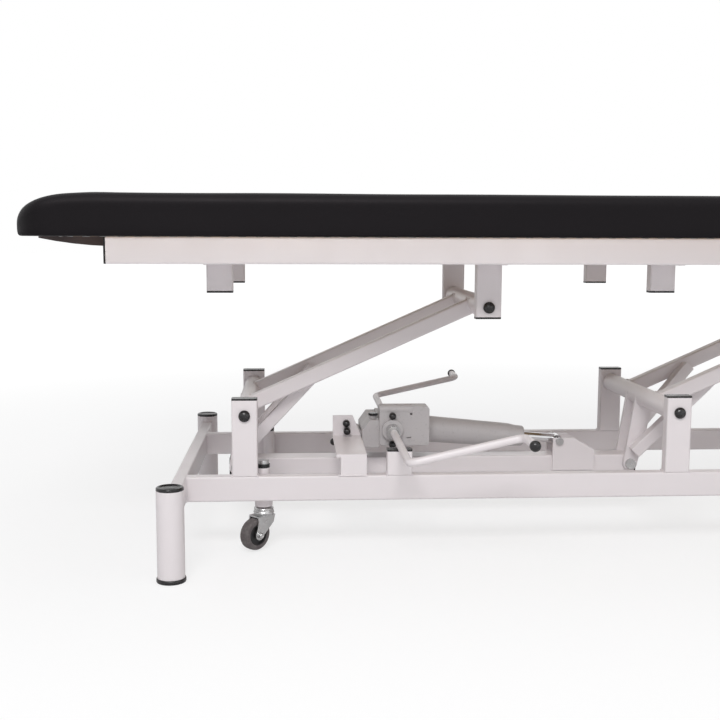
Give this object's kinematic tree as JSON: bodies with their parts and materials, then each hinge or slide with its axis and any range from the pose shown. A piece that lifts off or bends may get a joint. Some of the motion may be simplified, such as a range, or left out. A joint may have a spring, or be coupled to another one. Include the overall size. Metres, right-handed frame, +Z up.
{
  "type": "examination couch",
  "caption": "Height-adjustable examination couch: one flat padded top on a steel parallelogram lift with a foot-pumped hydraulic ram, short columns and castors.",
  "frame": {"origin": "on the floor, under the middle of the padded top", "axes": "+X along the couch, away from the end with the pump; +Y across it; +Z up"},
  "size_m": [1.88, 0.792, 0.556],
  "materials": {
    "white_paint": "smooth off-white powder coat, semi-gloss",
    "black_plastic": "black moulded plastic, soft sheen",
    "pad_vinyl": "black vinyl-coated upholstery fabric, fine grain, low sheen",
    "grey_paint": "light grey enamel",
    "zinc_steel": "bright zinc plate",
    "chrome_steel": "polished hard chrome",
    "castor_tread": "dark grey castor tread",
    "castor_hub": "black nylon hub",
    "pad_board": "plain plywood",
    "nose_lining": "dark brown lining over a thin curved board"
  },
  "bodies": {
    "base": {"base_tube_near": "white_paint", "base_tube_far": "white_paint", "base_end_tubes": "white_paint", "support_columns": "white_paint", "column_feet": "black_plastic", "base_end_caps": "black_plastic", "arm_posts": "white_paint", "pedal_rest_posts": "white_paint", "lower_pivot_bolts": "zinc_steel", "lower_bolt_caps": "black_plastic", "pump_bracket": "white_paint", "pump_housing": "grey_paint", "oil_reservoir": "grey_paint", "pump_flanges": "grey_paint", "pump_black_caps": "black_plastic", "cylinder_cover": "grey_paint", "cylinder_barrel": "zinc_steel", "caster_sleeves": "white_paint", "caster_stems": "zinc_steel"},
    "pedals": {"pedal_shaft": "zinc_steel", "foot_pedals": "white_paint", "pedal_end_caps": "black_plastic"},
    "lift_arms_left": {"left_arms": "white_paint", "left_lower_pivot_tube": "white_paint", "left_upper_pivot_tube": "white_paint", "left_levers": "white_paint", "left_lever_struts": "white_paint"},
    "lift_arms_right": {"right_arms": "white_paint", "right_lower_pivot_tube": "white_paint", "right_upper_pivot_tube": "white_paint", "right_levers": "white_paint", "right_lever_struts": "white_paint"},
    "tie_bar": {"tie_bar": "white_paint", "tie_bar_end_caps": "black_plastic", "ram_gussets": "white_paint", "tie_bar_pins": "zinc_steel"},
    "ram_rod": {"piston_rod": "chrome_steel"},
    "top": {"top_rail_near": "white_paint", "top_rail_far": "white_paint", "top_cross_tubes": "white_paint", "arm_brackets": "white_paint", "stop_stubs": "white_paint", "top_frame_caps": "black_plastic", "upper_pivot_bolts": "zinc_steel", "upper_bolt_caps": "black_plastic", "pad_board": "pad_board", "pad": "pad_vinyl", "nose_panels": "nose_lining"},
    "caster_swivel_near_left": {"caster_fork_near_left": "zinc_steel"},
    "caster_wheel_near_left": {"caster_tyre_near_left": "castor_tread", "caster_hub_near_left": "castor_hub"},
    "caster_swivel_far_left": {"caster_fork_far_left": "zinc_steel"},
    "caster_wheel_far_left": {"caster_tyre_far_left": "castor_tread", "caster_hub_far_left": "castor_hub"},
    "caster_swivel_near_right": {"caster_fork_near_right": "zinc_steel"},
    "caster_wheel_near_right": {"caster_tyre_near_right": "castor_tread", "caster_hub_near_right": "castor_hub"},
    "caster_swivel_far_right": {"caster_fork_far_right": "zinc_steel"},
    "caster_wheel_far_right": {"caster_tyre_far_right": "castor_tread", "caster_hub_far_right": "castor_hub"}
  },
  "joints": [
    {"name": "lift", "type": "hinge", "parent": "base", "child": "lift_arms_left", "pos_m": [-0.634, 0, 0.22], "axis": [0, -1, 0], "range_deg": [-16.5, 36]},
    {"name": "right_lift", "type": "hinge", "parent": "base", "child": "lift_arms_right", "pos_m": [0.056, 0, 0.22], "axis": [0, -1, 0], "range_deg": [-16.5, 36]},
    {"name": "top_level", "type": "hinge", "parent": "lift_arms_left", "child": "top", "pos_m": [-0.254, 0, 0.388], "axis": [0, -1, 0], "range_deg": [-36, 16.5]},
    {"name": "tie_level", "type": "hinge", "parent": "lift_arms_left", "child": "tie_bar", "pos_m": [-0.657, 0, 0.102], "axis": [0, -1, 0], "range_deg": [-36, 16.5]},
    {"name": "ram_stroke", "type": "slide", "parent": "base", "child": "ram_rod", "axis": [0.9965, 0, -0.0837], "range_m": [-0.0335, 0.073]},
    {"name": "pedal_press", "type": "hinge", "parent": "base", "child": "pedals", "pos_m": [-0.391, 0, 0.172], "axis": [0, 1, 0], "range_deg": [-8, 22], "stiffness_Nm_per_rad": 40},
    {"name": "caster_swivel_near_left", "type": "hinge", "parent": "base", "child": "caster_swivel_near_left", "pos_m": [-0.606, -0.159, 0.06], "axis": [0, 0, 1], "continuous": true},
    {"name": "caster_roll_near_left", "type": "hinge", "parent": "caster_swivel_near_left", "child": "caster_wheel_near_left", "pos_m": [-0.6199, -0.17196, 0.027], "axis": [-0.682, 0.7314, 0], "continuous": true},
    {"name": "caster_swivel_far_left", "type": "hinge", "parent": "base", "child": "caster_swivel_far_left", "pos_m": [-0.606, 0.159, 0.06], "axis": [0, 0, 1], "continuous": true},
    {"name": "caster_roll_far_left", "type": "hinge", "parent": "caster_swivel_far_left", "child": "caster_wheel_far_left", "pos_m": [-0.62385, 0.1525, 0.027], "axis": [-0.342, 0.9397, 0], "continuous": true},
    {"name": "caster_swivel_near_right", "type": "hinge", "parent": "base", "child": "caster_swivel_near_right", "pos_m": [0.486, -0.159, 0.06], "axis": [0, 0, 1], "continuous": true},
    {"name": "caster_roll_near_right", "type": "hinge", "parent": "caster_swivel_near_right", "child": "caster_wheel_near_right", "pos_m": [0.50245, -0.1685, 0.027], "axis": [-0.5, -0.866, 0], "continuous": true},
    {"name": "caster_swivel_far_right", "type": "hinge", "parent": "base", "child": "caster_swivel_far_right", "pos_m": [0.486, 0.159, 0.06], "axis": [0, 0, 1], "continuous": true},
    {"name": "caster_roll_far_right", "type": "hinge", "parent": "caster_swivel_far_right", "child": "caster_wheel_far_right", "pos_m": [0.50322, 0.16703, 0.027], "axis": [0.4226, -0.9063, 0], "continuous": true}
  ],
  "couplings": [
    {"joint": "right_lift", "follows": "lift", "ratio": 1},
    {"joint": "top_level", "follows": "lift", "ratio": -1},
    {"joint": "tie_level", "follows": "lift", "ratio": -1},
    {"joint": "ram_stroke", "follows": "lift", "m_per_rad": 0.116}
  ]
}
